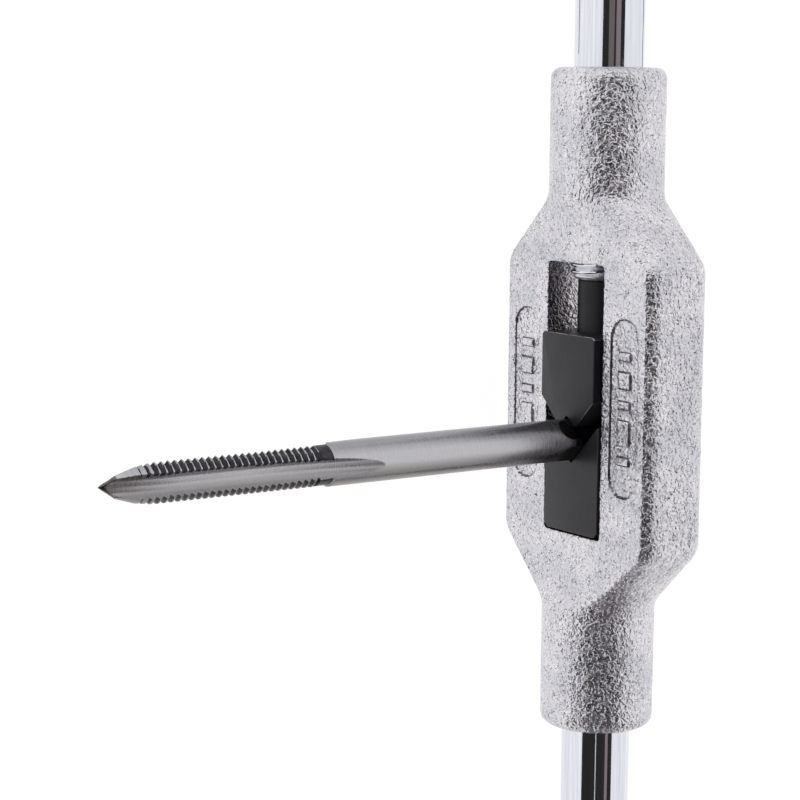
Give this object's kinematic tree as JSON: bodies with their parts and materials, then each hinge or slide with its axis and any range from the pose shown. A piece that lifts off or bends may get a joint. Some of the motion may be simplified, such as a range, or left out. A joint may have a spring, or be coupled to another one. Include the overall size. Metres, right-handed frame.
{
  "type": "tap wrench",
  "caption": "Adjustable bar tap wrench with a cast body, V jaws, a screw-operated handle and a pinned fixed handle, gripping a straight-flute hand tap.",
  "frame": {"origin": "where the axis of the tap crosses the axis of the two handles", "axes": "+X out along the fixed handle, -X out along the adjusting handle, -Y the way the tap points, +Z across the width of the body; the wrench lies on its side at -Z"},
  "size_m": [0.28, 0.0895, 0.0328],
  "materials": {
    "cast_body": "rough as-cast light grey, faintly lilac",
    "chrome_bar": "polished chrome plate",
    "black_steel": "satin black oxide",
    "plain_steel": "bright drawn steel",
    "tool_steel": "ground steel, darker in the thread"
  },
  "bodies": {
    "frame": {"body_casting": "cast_body", "fixed_handle": "chrome_bar", "fixed_handle_pin": "plain_steel", "fixed_jaw": "black_steel", "fixed_jaw_pin": "plain_steel"},
    "movable_jaw": {"movable_jaw": "black_steel", "jaw_retaining_pins": "plain_steel"},
    "adjusting_handle": {"adjusting_handle": "chrome_bar", "swivel_stem": "black_steel"},
    "tap": {"tap": "tool_steel"}
  },
  "joints": [
    {"name": "jaw_slide", "type": "slide", "parent": "frame", "child": "movable_jaw", "axis": [-1, 0, 0], "range_m": [0, 0.0098]},
    {"name": "handle_turn", "type": "hinge", "parent": "movable_jaw", "child": "adjusting_handle", "pos_m": [-0.03, 0, 0], "axis": [-1, 0, 0], "range_deg": [0, 3528]},
    {"name": "tap_release", "type": "slide", "parent": "frame", "child": "tap", "axis": [0, -1, 0], "range_m": [0, 0.03]}
  ],
  "couplings": [
    {"joint": "handle_turn", "follows": "jaw_slide", "rad_per_m": 6283.2}
  ]
}
